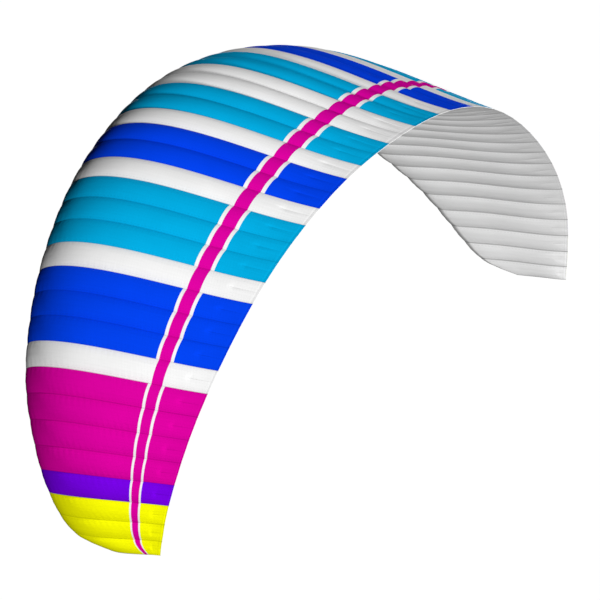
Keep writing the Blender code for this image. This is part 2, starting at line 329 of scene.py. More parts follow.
@dataclass
class Billow:
    """How the cloth stands up between the ribs, and the folds that sewing and air pressure leave in it."""

    rise: float = 0.135  # of a cell, as a share of its width
    squareness: float = 2.7  # 2 gives a round cell; more keeps its middle flatter and its sides steeper
    nose_rise: float = 0.2  # share of that rise at the very nose
    nose_reach: float = 0.30
    hem_sharpness: float = 6.0  # the higher, the nearer to the trailing-edge hem the rise dies away
    unevenness: float = 0.05  # how much the rise wanders along a cell
    wander_lengths: tuple[float, float] = (0.41, 0.23)  # metres along the cell, of that wander's two waves
    wander_turn: float = 2.7  # how much further the second wave turns from cell to cell
    mini_rib: float = 0.865  # where the short rib in the middle of each cell begins, as a share of the chord
    mini_rib_onset: float = 0.030  # share of the chord over which its seam comes to its full pull
    mini_rib_pull: float = 0.45  # share of the rise that its seam takes away
    mini_rib_reach: float = 0.026  # metres to each side of the seam
    dimple_pull: float = 0.16  # share of the rise lost in the dimple where that seam begins
    dimple_length: float = 0.013
    dimple_reach: float = 0.018
    pucker: float = 0.0014  # height of the small folds that a rib seam gathers
    pucker_pitch: float = 0.065
    pucker_reach: float = 0.030
    pucker_cell: float = 0.24  # cells narrower than this pucker less
    pucker_turn: float = 1.9  # how far they shift from one seam to the next
    pucker_slant: float = 2.0  # how far they lean over on their way across the cell
    pucker_swell: float = 0.4  # share of their height that comes and goes along a seam
    pucker_swell_length: float = 0.17
    pucker_swell_turn: float = 2.3
    pucker_end: float = 0.80  # share of the chord where the shallow tail pulls those folds flat
    pucker_fade: float = 0.15
    nose_fold: float = 0.0016  # height of the folds round the nose
    nose_fold_reach: float = 0.22
    nose_fold_count: float = 3.0  # across a cell
    tail_fold: float = 0.0016  # height of the long creases that run out to the hem
    tail_fold_reach: float = 0.30
    tail_fold_start: float = 0.05
    tail_fold_count: float = 3.0
    tail_fold_turn: float = 1.3
    tail_fold_drift: float = 0.8  # how far they wander sideways
    tail_fold_drift_length: float = 0.19
    hem: float = 0.011  # width of the trailing-edge hem, as a share of the chord
    hem_groove: float = 0.0018
    hem_groove_width: float = 0.0028
    full_groove_chord: float = 1.3  # on shorter sections, whose tail is thinner, the groove is shallower

    def arc(self, u: np.ndarray) -> np.ndarray:
        """Height of a cell's arc, from 0 at its seams to 1 at its crest."""
        return 1 - np.abs(2 * u - 1) ** self.squareness

    def bulge(self, s: np.ndarray) -> np.ndarray:
        """How much of its full rise a cell has along the chord.

        Args:
            s: shares of the chord.

        Returns:
            Shares of the rise.
        """
        growth = np.sin(math.pi / 2 * np.minimum(1.0, s / self.nose_reach))
        front = self.nose_rise + (1 - self.nose_rise) * growth
        return front * (1 - s**self.hem_sharpness)

    def height(self, cell: int, u: np.ndarray, s: np.ndarray, width: float, along: np.ndarray) -> np.ndarray:
        """How far the cloth stands off the straight line between two ribs.

        Args:
            cell: the cell's number, which sets how its own folds fall.
            u: shares of the cell's width, as a column.
            s: shares of the chord, as a row.
            width: the cell's width, in metres.
            along: metres along the cloth from the nose, a row for each u.

        Returns:
            Heights in metres, a row for each u and a column for each s.
        """
        turn = GOLDEN_ANGLE * cell
        slow, quick = (along / length for length in self.wander_lengths)
        wander = 1 + self.unevenness * np.sin(slow + turn) * np.sin(quick + self.wander_turn * turn)
        rise = self.rise * width * self.bulge(s) * wander * self.arc(u)
        rise = rise * (1 - self.mini_rib_pinch(s, np.abs(u - 0.5) * width))
        folds = self.puckers(cell, u, s, width, along) + self.long_folds(u, along, turn)
        groove = self.hem_groove * np.exp(-(((s - (1 - self.hem)) / self.hem_groove_width) ** 2))
        return rise + folds - groove * np.minimum(1.0, along[:, -1:] / self.full_groove_chord)

    def mini_rib_pinch(self, s: np.ndarray, off_middle: np.ndarray) -> np.ndarray:
        """Share of a cell's rise that the short rib's seam takes away.

        Args:
            s: shares of the chord, as a row.
            off_middle: metres from the middle of the cell, as a column.

        Returns:
            Shares from 0 to below 1.
        """
        ramp = np.clip((s - self.mini_rib) / self.mini_rib_onset, 0.0, 1.0)
        ramp = ramp * ramp * (3 - 2 * ramp)
        begin = np.exp(-(((s - self.mini_rib - self.dimple_length) / self.dimple_length) ** 2))
        pinch = self.mini_rib_pull * ramp * np.exp(-off_middle / self.mini_rib_reach)
        return pinch + self.dimple_pull * begin * np.exp(-((off_middle / self.dimple_reach) ** 2))

    def puckers(self, cell: int, u: np.ndarray, s: np.ndarray, width: float, along: np.ndarray) -> np.ndarray:
        """The short folds that the rib seams on both sides of a cell gather, square to the seams.

        Args:
            cell: the cell's number.
            u: shares of the cell's width, as a column.
            s: shares of the chord, as a row.
            width: the cell's width, in metres.
            along: metres along the cloth from the nose, a row for each u.

        Returns:
            Heights in metres.
        """
        folds = np.zeros_like(along)
        for seam, share in ((cell, u), (cell + 1, 1 - u)):
            off_seam = share * width / self.pucker_reach
            phase = self.pucker_turn * seam + self.pucker_slant * share
            wave = np.sin(2 * math.pi * along / self.pucker_pitch + phase)
            swell = np.sin(along / self.pucker_swell_length + self.pucker_swell_turn * seam)
            slow = 1 - self.pucker_swell + self.pucker_swell * swell
            folds += self.pucker * off_seam * np.exp(1 - off_seam) * wave * slow * (1 - share)
        calm = min(1.0, width / self.pucker_cell) ** 2
        return calm * folds * np.clip((self.pucker_end - s) / self.pucker_fade, 0.0, 1.0)

    def long_folds(self, u: np.ndarray, along: np.ndarray, turn: float) -> np.ndarray:
        """The shallow creases along the cell, round the nose and out to the hem.

        Args:
            u: shares of the cell's width, as a column.
            along: metres along the cloth from the nose, a row for each u.
            turn: the cell's own phase.

        Returns:
            Heights in metres.
        """
        window = (4 * u * (1 - u)) ** 2
        to_hem = along[:, -1:] - along
        nose = self.nose_fold * np.exp(-along / self.nose_fold_reach)
        tail = self.tail_fold * np.exp(-to_hem / self.tail_fold_reach)
        tail = tail * (1 - np.exp(-to_hem / self.tail_fold_start))
        nose_wave = np.sin(2 * math.pi * self.nose_fold_count * u + turn)
        drift = self.tail_fold_drift * np.sin(along / self.tail_fold_drift_length + turn)
        tail_wave = np.sin(2 * math.pi * self.tail_fold_count * u + self.tail_fold_turn * turn + drift)
        return window * (nose * nose_wave + tail * tail_wave)


@dataclass
class Grid:
    """A rectangular patch of cloth as two skins of points, with the numbers that its finish needs."""

    outer: np.ndarray  # lines x stations x 3
    inner: np.ndarray
    present: np.ndarray  # which squares hold cloth
    finish: np.ndarray  # which material each square has
    cloth_uv: np.ndarray  # squares x 4 corners x 2, in the order of the square's corners
    seam_uv: np.ndarray
    seam_lines: list[int] = field(default_factory=list)  # lines along which the cloth is folded sharply
    hem_finish: int | None = None  # material of the raw edge along the trailing edge, where it has its own


@dataclass
class Faces:
    """The faces round a patch of cloth, in runs: corners, finishes and UVs, and the edges that stay sharp."""

    corners: list[np.ndarray]
    finish: list[np.ndarray]
    cloth_uv: list[np.ndarray]
    seam_uv: list[np.ndarray]
    sharp: list[np.ndarray] = field(default_factory=list)


def at_corners(values: np.ndarray) -> np.ndarray:
    """The values at the corners of each square of a grid of points, in the order of those corners."""
    return np.stack([values[:-1, :-1], values[:-1, 1:], values[1:, 1:], values[1:, :-1]], axis=2)


def shell_faces(grid: Grid) -> Faces:
    """Lists the faces of both skins of a patch, and of the rim wherever a square has no neighbour.

    Args:
        grid: the patch. The inner skin's points are numbered after the outer one's.

    Returns:
        The faces.
    """
    lines, stations = grid.outer.shape[:2]
    number = np.arange(lines * stations).reshape(lines, stations)
    lift = lines * stations
    i, j = np.nonzero(grid.present)
    corners = at_corners(number)[i, j]
    finish, cloth, seam = grid.finish[i, j], grid.cloth_uv[i, j], grid.seam_uv[i, j]
    made = Faces(
        corners=[corners, corners[:, ::-1] + lift],
        finish=[finish, finish],
        cloth_uv=[cloth, cloth[:, ::-1]],
        seam_uv=[seam, seam[:, ::-1]],
    )
    padded = np.pad(grid.present, 1)
    for line_step, station_step, first, second in ((-1, 0, 0, 1), (0, 1, 1, 2), (1, 0, 2, 3), (0, -1, 3, 0)):
        bare = ~padded[i + 1 + line_step, j + 1 + station_step]
        a, b = corners[bare, first], corners[bare, second]
        made.corners.append(np.stack([b, a, a + lift, b + lift], axis=1))
        raw = station_step == 1 and grid.hem_finish is not None
        made.finish.append(np.full_like(finish[bare], grid.hem_finish) if raw else finish[bare])
        for store, uv in ((made.cloth_uv, cloth), (made.seam_uv, seam)):
            store.append(uv[bare][:, [second, first, first, second]])
        rim = ((a, b), (a + lift, b + lift), (a, a + lift), (b, b + lift))
        made.sharp += [np.stack(ends, axis=1) for ends in rim]
    for line in grid.seam_lines:
        run = np.stack([number[line, :-1], number[line, 1:]], axis=1)
        made.sharp += [run, run + lift]
    return made


def fold_sharply(mesh: bpy.types.Mesh, numbers: np.ndarray, sharp: np.ndarray) -> None:
    """Marks the edges across which the shading doesn't run on.

    Args:
        mesh: the mesh.
        numbers: the number in its patch of each vertex.
        sharp: the pairs of such numbers that such edges join.
    """
    ends = np.zeros(len(mesh.edges) * 2, dtype=np.int32)
    mesh.edges.foreach_get("vertices", ends)
    ends = np.sort(numbers[ends.reshape(-1, 2)], axis=1)
    sharp = np.sort(sharp, axis=1)
    key = np.array([sharp.max() + numbers.max(), 1])
    mesh.edges.foreach_set("use_edge_sharp", np.isin(ends @ key, sharp @ key))


def closed_mesh(name: str, grid: Grid) -> bpy.types.Mesh:
    """Makes one closed body between the two skins of a patch of cloth.

    Args:
        name: the mesh's name.
        grid: the patch.

    Returns:
        The mesh, smooth but for its rim and seams, with both UV maps and a material number on each face.
    """
    made = shell_faces(grid)
    used, faces = np.unique(np.concatenate(made.corners), return_inverse=True)
    faces = faces.reshape(-1, 4)
    points = np.concatenate([grid.outer.reshape(-1, 3), grid.inner.reshape(-1, 3)])[used]
    mesh = bpy.data.meshes.new(name)
    mesh.vertices.add(len(points))
    mesh.vertices.foreach_set("co", points.astype(np.float32).ravel())
    mesh.loops.add(faces.size)
    mesh.loops.foreach_set("vertex_index", faces.astype(np.int32).ravel())
    mesh.polygons.add(len(faces))
    mesh.polygons.foreach_set("loop_start", np.arange(0, faces.size, 4, dtype=np.int32))
    mesh.polygons.foreach_set("material_index", np.concatenate(made.finish).astype(np.int32))
    mesh.update(calc_edges=True)
    mesh.polygons.foreach_set("use_smooth", np.ones(len(faces), dtype=bool))
    for title, store in ((CLOTH_UV, made.cloth_uv), (SEAM_UV, made.seam_uv)):
        layer = mesh.uv_layers.new(name=title)
        layer.uv.foreach_set("vector", np.concatenate(store).astype(np.float32).ravel())
    fold_sharply(mesh, used, np.concatenate(made.sharp))
    mesh.update()
    return mesh


# ----------------------------------------------------------------------------------------------------
# Finishes
# ----------------------------------------------------------------------------------------------------


def linear(hex_colour: str) -> tuple[float, float, float, float]:
    """Turns an sRGB hex value into the linear colour that a shader takes.

    Args:
        hex_colour: such as "#02A6DE".

    Returns:
        Linear red, green, blue and alpha.
    """
    parts = [int(hex_colour[k:k + 2], 16) / 255 for k in (1, 3, 5)]
    red, green, blue = (c / 12.92 if c <= 0.04045 else ((c + 0.055) / 1.055) ** 2.4 for c in parts)
    return red, green, blue, 1.0


def add_node(
    tree: bpy.types.NodeTree, kind: str, settings: dict | None = None, inputs: dict | None = None
) -> bpy.types.Node:
    """Adds a node with its settings, and fills or links its inputs.

    Args:
        tree: the node tree.
        kind: the node's type.
        settings: the node's own properties.
        inputs: values or output sockets, by the input's name or number.

    Returns:
        The node.
    """
    node = tree.nodes.new(kind)
    for name, value in (settings or {}).items():
        setattr(node, name, value)
    for name, value in (inputs or {}).items():
        if isinstance(value, Socket):
            tree.links.new(value, node.inputs[name])
        else:
            node.inputs[name].default_value = value
    return node


@dataclass(frozen=True)
class RipstopNylon:
    """Woven nylon with a thicker thread every few millimetres, and a thin silicone coat rolled on.

    The thicker threads give the eye a faint square grid, and the weave and the thin coat a soft matt face.
    The real grid is 5 mm, and the stitches are 3 to 4 mm long. Both are too fine to show from where the whole
    wing is seen, so they are drawn about six times as coarse. Ranges are shares of the cloth's length.
    """

    dye: Dye
    roughness: float = 0.80
    gloss: float = 0.03  # well under the 0.5 of smooth nylon: the weave shades nearly all of its own gloss
    refraction: float = 1.53
    grid_pitch: float = 0.030
    grid_thread: float = 0.0022
    grid_softness: float = 0.5
    grid_tone: float = 0.955
    seam_and_valley_shade_width: float = 0.011  # the sewn layers on each side of a rib seam: their own slightly darker tone plus painted shade of the valley they lie in
    # how dark the seam's layers are, with the painted shade of its valley
    seam_and_valley_shade_tone: float = 0.62
    stitch_row: float = 0.020  # the row's distance from the seam: 6 mm on the real wing, drawn coarser
    stitch_length: float = 0.024
    stitch_gap: float = 0.014
    stitch_width: float = 0.0035
    stitch_tone: float = 0.90
    hem_row: float = 0.032  # the hem's own row of stitches, from the trailing edge
    hem_tone: float = 0.90
    mini_rib: tuple[float, float] = (0.875, 0.885)  # where the short seam in the middle of a cell begins
    # the short seam's own line plus painted shade of the crease that its pull leaves
    mini_rib_seam_and_crease_shade_tone: float = 0.82
    mini_rib_tail: tuple[float, float] = (0.91, 0.97)  # where that seam and its painted crease shade fade
    mini_rib_fade: float = 0.45  # share of its tone that is left after that
    mouth_shade_band: tuple[float, float] = (0.060, 0.095)  # where the painted shade along the front of the cloth, round the mouths, ends
    mouth_shade_tone: float = 1.0  # under 1 where that shade is painted
    noise_range: tuple[float, float] = (0.3, 0.7)  # where nearly all of a noise's values lie
    cloud_pitch: float = 2.2  # slight unevenness of the dye, in features per metre
    cloud_detail: float = 2.0
    cloud_tones: tuple[float, float] = (0.975, 1.02)
    streak_pitch: tuple[float, float, float] = (32.0, 2.2, 1.0)  # fine creases: per metre across, then along
    streak_detail: float = 3.0
    # painted shade in the hollows of the fine creases and painted light on their ridges
    streak_shade_tones: tuple[float, float] = (0.985, 1.01)
    streak_growth: tuple[float, float] = (0.35, 0.9)  # where those creases deepen on their way to the tail
    streak_tail: float = 2.6  # how much deeper they are there than at the nose
    thread_relief: float = 0.25  # height of the grid's threads, as a share of the creases' height
    relief: float = 0.004
    relief_strength: float = 0.35

    def material(self) -> bpy.types.Material:
        """Makes the material.

        Returns:
            The material, named for its cloth and dye.
        """
        made = bpy.data.materials.new(f"ripstop_nylon_{self.dye.name.lower()}")
        made.use_nodes = True
        tree = made.node_tree
        shader = tree.nodes["Principled BSDF"]
        shader.inputs["Roughness"].default_value = self.roughness
        shader.inputs["IOR"].default_value = self.refraction
        shader.inputs["Specular IOR Level"].default_value = self.gloss
        made.diffuse_color = linear(self.dye.value)

        cloth = add_node(tree, "ShaderNodeUVMap", {"uv_map": CLOTH_UV}).outputs[0]
        seam = add_node(tree, "ShaderNodeUVMap", {"uv_map": SEAM_UV}).outputs[0]
        place = add_node(tree, "ShaderNodeTexCoord").outputs["Object"]
        across, along = add_node(tree, "ShaderNodeSeparateXYZ", inputs={0: cloth}).outputs[:2]
        to_seam, to_hem = add_node(tree, "ShaderNodeSeparateXYZ", inputs={0: seam}).outputs[:2]
        length = add_node(tree, MATH, {"operation": "ADD"}, {0: along, 1: to_hem}).outputs[0]
        share = add_node(tree, MATH, {"operation": "DIVIDE"}, {0: along, 1: length}).outputs[0]

        weave = {
            "Vector": cloth,
            "Scale": 1.0,
            "Mortar Size": self.grid_thread / 2,
            "Mortar Smooth": self.grid_softness,
            "Brick Width": self.grid_pitch,
            "Row Height": self.grid_pitch,
        }
        threads = add_node(tree, "ShaderNodeTexBrick", {"offset": 0.0, "squash": 1.0}, weave).outputs["Fac"]
        noises = []
        for vector, pitch, detail in (
            (cloth, self.streak_pitch, self.streak_detail),
            (place, (self.cloud_pitch,) * 3, self.cloud_detail),
        ):
            scaled = add_node(tree, "ShaderNodeVectorMath", {"operation": "MULTIPLY"}, {0: vector, 1: pitch})
            source = {"Vector": scaled.outputs[0], "Scale": 1.0, "Detail": detail}
            noises.append(add_node(tree, "ShaderNodeTexNoise", inputs=source).outputs["Fac"])
        streaks, clouds = noises

        repeat = {0: along, 1: (self.stitch_length + self.stitch_gap) / 2}
        dash = add_node(tree, MATH, {"operation": "PINGPONG"}, repeat).outputs[0]
        on_stitch = {0: dash, 1: self.stitch_length / 2}
        dash = add_node(tree, MATH, {"operation": "LESS_THAN"}, on_stitch).outputs[0]
        width = (self.stitch_width / 2, self.stitch_width)
        rows = []
        for distance, row, drawn in (
            (to_seam, self.stitch_row, dash),
            (to_hem, self.hem_row, 1.0),
            (across, 0.0, 1.0),
        ):
            off = add_node(tree, MATH, {"operation": "SUBTRACT"}, {0: distance, 1: row}).outputs[0]
            off = add_node(tree, MATH, {"operation": "ABSOLUTE"}, {0: off}).outputs[0]
            rows.append(self.graded(tree, drawn, [(off, width, (1.0, 0.0))]))
        stitches, hem_stitches, middle = rows
        # the short seam in the middle of each cell, darkened with painted shade of its crease
        parts = [(share, self.mini_rib, (0.0, 1.0)), (share, self.mini_rib_tail, (1.0, self.mini_rib_fade))]
        short_seam_and_crease_shade = self.graded(tree, middle, parts)

        tones = [
            (threads, (0.0, 1.0), (1.0, self.grid_tone)),
            (clouds, self.noise_range, self.cloud_tones),
            # the fine creases: painted shade in their hollows and painted light on their ridges
            (streaks, self.noise_range, self.streak_shade_tones),
            # the rib seams' own tone and painted shade in the valley along each seam
            (to_seam, (0.0, self.seam_and_valley_shade_width), (self.seam_and_valley_shade_tone, 1.0)),
            (stitches, (0.0, 1.0), (1.0, self.stitch_tone)),
            (hem_stitches, (0.0, 1.0), (1.0, self.hem_tone)),
            (short_seam_and_crease_shade, (0.0, 1.0), (1.0, self.mini_rib_seam_and_crease_shade_tone)),
            # painted shade along the front of the cloth, where the nose turns away from the light
            (share, self.mouth_shade_band, (self.mouth_shade_tone, 1.0)),
        ]
        dyed = {0: linear(self.dye.value)[:3], "Scale": self.graded(tree, 1.0, tones)}
        colour = add_node(tree, "ShaderNodeVectorMath", {"operation": "SCALE"}, dyed).outputs[0]
        tree.links.new(colour, shader.inputs["Base Color"])

        creases = self.graded(tree, streaks, [(share, self.streak_growth, (1.0, self.streak_tail))])
        heights = {0: threads, 1: self.thread_relief, 2: creases}
        height = add_node(tree, MATH, {"operation": "MULTIPLY_ADD"}, heights).outputs[0]
        raised = {"Strength": self.relief_strength, "Distance": self.relief, "Height": height}
        bump = add_node(tree, "ShaderNodeBump", inputs=raised)
        tree.links.new(bump.outputs[0], shader.inputs["Normal"])
        return made

    @staticmethod
    def graded(tree: bpy.types.NodeTree, value: Socket | float, steps: list[tuple]) -> Socket:
        """Multiplies a value by a factor for each of some measures of the cloth.

        Args:
            tree: the node tree.
            value: what to start from.
            steps: for each measure its socket, the range of it that counts, and the factors at its ends.

        Returns:
            The product.
        """
        for measure, (start, end), (low, high) in steps:
            limits = {0: measure, 1: start, 2: end, 3: low, 4: high}
            smooth = {"interpolation_type": "SMOOTHSTEP"}
            factor = add_node(tree, "ShaderNodeMapRange", smooth, limits).outputs[0]
            value = add_node(tree, MATH, {"operation": "MULTIPLY"}, {0: value, 1: factor}).outputs[0]
        return value


@dataclass
class Livery:
    """A plain pattern: stripes of whole cells, the same on both halves, and one straight spanwise band."""

    half: tuple[tuple[Dye, int], ...] = (
        (Dye.WHITE, 1),
        (Dye.CYAN, 2),
        (Dye.WHITE, 1),
        (Dye.BLUE, 2),
        (Dye.WHITE, 1),
        (Dye.CYAN, 3),
        (Dye.WHITE, 1),
        (Dye.BLUE, 3),
        (Dye.WHITE, 1),
        (Dye.MAGENTA, 4),
        (Dye.PURPLE, 1),
        (Dye.YELLOW, 3),
    )
    band: tuple[tuple[Dye, float, float], ...] = (
        (Dye.WHITE, 0.695, 0.710),
        (Dye.MAGENTA, 0.710, 0.765),
        (Dye.WHITE, 0.765, 0.780),
    )

    def dyes(self) -> list[Dye]:
        """The dyes in use, in the order of the material numbers."""
        return [Dye.WHITE, Dye.CYAN, Dye.BLUE, Dye.MAGENTA, Dye.PURPLE, Dye.YELLOW]

    def edges(self) -> list[float]:
        """The shares of the chord at which the band's strips are sewn together."""
        return sorted({edge for _, *edges in self.band for edge in edges})

    def numbers(self, cells: int, stations: np.ndarray) -> np.ndarray:
        """Material numbers of every cell.

        Args:
            cells: the number of cells.
            stations: shares of the chord that bound the squares.

        Returns:
            A row for each cell and a column for each square along the chord.
        """
        order = self.dyes()
        stripe = [dye for dye, count in self.half for _ in range(count)]
        half = np.array([order.index(dye) for dye in stripe])
        table = np.repeat(np.concatenate([half[::-1], half])[:, None], len(stations) - 1, axis=1)
        assert len(table) == cells
        middles = (stations[1:] + stations[:-1]) / 2
        for dye, start, end in self.band:
            table[:, (middles > start) & (middles < end)] = order.index(dye)
        return table


# ----------------------------------------------------------------------------------------------------
# The wing's sub-assemblies
# ----------------------------------------------------------------------------------------------------


def add_piece(
    mesh: bpy.types.Mesh,
    materials: list[bpy.types.Material],
    place: Matrix,
    node: str,
    cut: tuple[float, float, float],
) -> None:
    """Adds a finished piece of cloth, named as its mesh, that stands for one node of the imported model.

    Args:
        mesh: its mesh, on the wing's plan.
        materials: its materials, by number.
        place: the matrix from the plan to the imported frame.
        node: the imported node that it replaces.
        cut: the two sides of the flat cloth, and its area.
    """
    mesh.transform(place)
    for material in materials:
        mesh.materials.append(material)
    piece = bpy.data.objects.new(mesh.name, mesh)
    bpy.context.scene.collection.objects.link(piece)
    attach(piece, ROOT)
    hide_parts(node)
    LOG.info("%s: %d faces, cut %.3f x %.3f m, %.3f m2", piece.name, len(mesh.polygons), *cut)


@dataclass
class Sheet:
    """One of the two sheets, sewn up of cell-wide panels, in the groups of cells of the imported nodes."""

    side: Side
    planform: Planform
    ribs: list[Rib]
    airfoil: Airfoil
    billow: Billow
    materials: list[bpy.types.Material]  # the last one is the undyed cloth of the hem's raw edge
    livery: Livery | None  # None leaves the sheet undyed
    body_stations: int
    across: tuple[float, ...] = (
        *(0.0, 0.025, 0.07, 0.13, 0.20, 0.28, 0.36, 0.43, 0.47),
        *(0.5, 0.53, 0.57, 0.64, 0.72, 0.80, 0.87, 0.93, 0.975),
    )
    nose_stations: int = 30
    tail_stations: int = 26
    nose_end: float = 0.08  # shares of the chord at which the stations change their spacing
    tail_start: float = 0.885
    clearance: float = 0.0012  # a station this near to a lip, a hem or a band's edge gives way to it
    nose_clearance: float = 0.02  # share of that clearance at the very nose, where the stations lie closer
    clearance_growth: float = 12.0
    closed_tip_cells: int = 5
    groups: tuple[tuple[str, int, int], ...] = (
        ("left_tip", 0, 7),
        ("left_middle", 7, 15),
        ("left_inner", 15, 23),
        ("right_inner", 23, 31),
        ("right_middle", 31, 39),
        ("right_tip", 39, 46),
    )

    def stations(self) -> np.ndarray:
        """Chooses where along the chord the sheet is drawn, closest together at the nose and the hem.

        Returns:
            Shares of the chord.
        """
        nose = self.nose_end * np.linspace(0, 1, self.nose_stations) ** 2
        body = np.linspace(self.nose_end, self.tail_start, self.body_stations)
        tail = np.linspace(self.tail_start, 1.0, self.tail_stations)
        every = np.concatenate([nose, body, tail])
        edges = self.livery.edges() if self.livery else []
        fixed = np.array([0.0, self.airfoil.lip, 1 - self.billow.hem, 1.0, *edges])
        clearance = self.clearance * np.minimum(1.0, self.nose_clearance + every * self.clearance_growth)
        clear = np.abs(every[:, None] - fixed).min(axis=1) > clearance
        return np.unique(np.concatenate([every[clear], fixed]))

    def panel(self, cell: int, s: np.ndarray) -> tuple[np.ndarray, np.ndarray, np.ndarray, np.ndarray]:
        """The cloth of one cell, from its left rib to its right one.

        Args:
            cell: the cell's number.
            s: the stations.

        Returns:
            The points of its outer and its inner skin, and both UVs at them.
        """
        u = np.array([*self.across, 1.0])[:, None]
        left, right = self.ribs[cell], self.ribs[cell + 1]
        width = left.span_to(right)
        sections = self.planform.between(left, right, u[:, 0])
        lines = [self.airfoil.line(section, s, self.side) for section in sections]
        along = np.array([self.length_along(line) for line in lines])
        base = np.array([section.on_wing(line) for section, line in zip(sections, lines)])
        out = np.array([section.turned(self.airfoil.outward(section, s, self.side)) for section in sections])
        face = base + out * self.billow.height(cell, u, s[None, :], width, along)[..., None]
        lining = face - self.airfoil.sheet * out
        cloth_uv = np.stack([np.broadcast_to((u - 0.5) * width, along.shape), along], axis=2)
        to_rib = np.broadcast_to(np.minimum(u, 1 - u) * width, along.shape)
        seam_uv = np.stack([to_rib, along[:, -1:] - along], axis=2)
        return face, lining, cloth_uv, seam_uv

    def skins(self, first: int, last: int, s: np.ndarray) -> Grid:
        """The cloth of a group of cells.

        Args:
            first: the number of the group's left rib.
            last: the number of its right rib.
            s: the stations.

        Returns:
            The patch.
        """
        steps = len(self.across)
        panels = [self.panel(cell, s) for cell in range(first, last)]
        faces, linings, cloth_uvs, seam_uvs = zip(*panels)
        outer, inner = (
            np.concatenate([*(points[:-1] for points in skin), skin[-1][-1:]]) for skin in (faces, linings)
        )
        for line, number, inward in ((0, first, -1), (-1, last, 1)):
            at_tip = number in (0, len(self.ribs) - 1)
            shift = inward * (-self.airfoil.sheet / 2 if at_tip else self.airfoil.gap / 2)
            for skin in (outer, inner):
                skin[line] += shift * self.ribs[number].spanwise()
        squares = ((last - first) * steps, len(s) - 1)
        present = np.ones(squares, dtype=bool)
        finish = np.zeros(squares, dtype=int)
        if self.livery:
            numbers = self.livery.numbers(self.planform.cells, s)
            finish = np.repeat(numbers[first:last], steps, axis=0)
        if self.side is Side.LOWER:
            cells = first + np.arange(squares[0]) // steps
            from_tip = np.minimum(cells, self.planform.cells - 1 - cells)
            present[np.ix_(from_tip >= self.closed_tip_cells, s[:-1] < self.airfoil.lip)] = False
        return Grid(
            outer=outer,
            inner=inner,
            present=present,
            finish=finish,
            cloth_uv=np.concatenate([at_corners(uv) for uv in cloth_uvs]),
            seam_uv=np.concatenate([at_corners(uv) for uv in seam_uvs]),
            seam_lines=[steps * k for k in range(last - first + 1)],
            hem_finish=len(self.materials) - 1,
        )

    @staticmethod
    def length_along(line: np.ndarray) -> np.ndarray:
        """Metres along a line of points, from its first point to each."""
        return np.concatenate([[0.0], np.cumsum(np.linalg.norm(np.diff(line, axis=0), axis=1))])

    def cut(self, first: int, last: int) -> tuple[float, float, float]:
        """The flat size of a group's panels, laid side by side.

        Args:
            first: the number of the group's left rib.
            last: the number of its right rib.

        Returns:
            The width of all panels, the length of the longest, and their area.
        """
        fine = self.stations()
        if self.side is Side.LOWER:
            fine = fine[fine >= self.airfoil.lip]
        lengths = [self.length_along(self.airfoil.line(rib, fine, self.side))[-1] for rib in self.ribs]
        fullness = 1 + 8 / 3 * self.billow.rise**2  # how much longer a shallow arc is than its chord
        cells = range(first, last)
        widths = [fullness * self.ribs[cell].span_to(self.ribs[cell + 1]) for cell in cells]
        area = sum(width * (lengths[cell] + lengths[cell + 1]) / 2 for cell, width in zip(cells, widths))
        return sum(widths), max(lengths[first:last + 1]), area

    def build(self, place: Matrix) -> None:
        """Makes the pieces of the sheet, from the left tip to the right one.

        Args:
            place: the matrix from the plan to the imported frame.
        """
        name = self.side.name.lower()
        for group, first, last in self.groups:
            mesh = closed_mesh(f"{name}_sheet_{group}", self.skins(first, last, self.stations()))
            if self.side is Side.LOWER:
                mesh.flip_normals()
            cut = self.cut(first, last)
            add_piece(mesh, self.materials, place, f"{name}_{group}", cut)


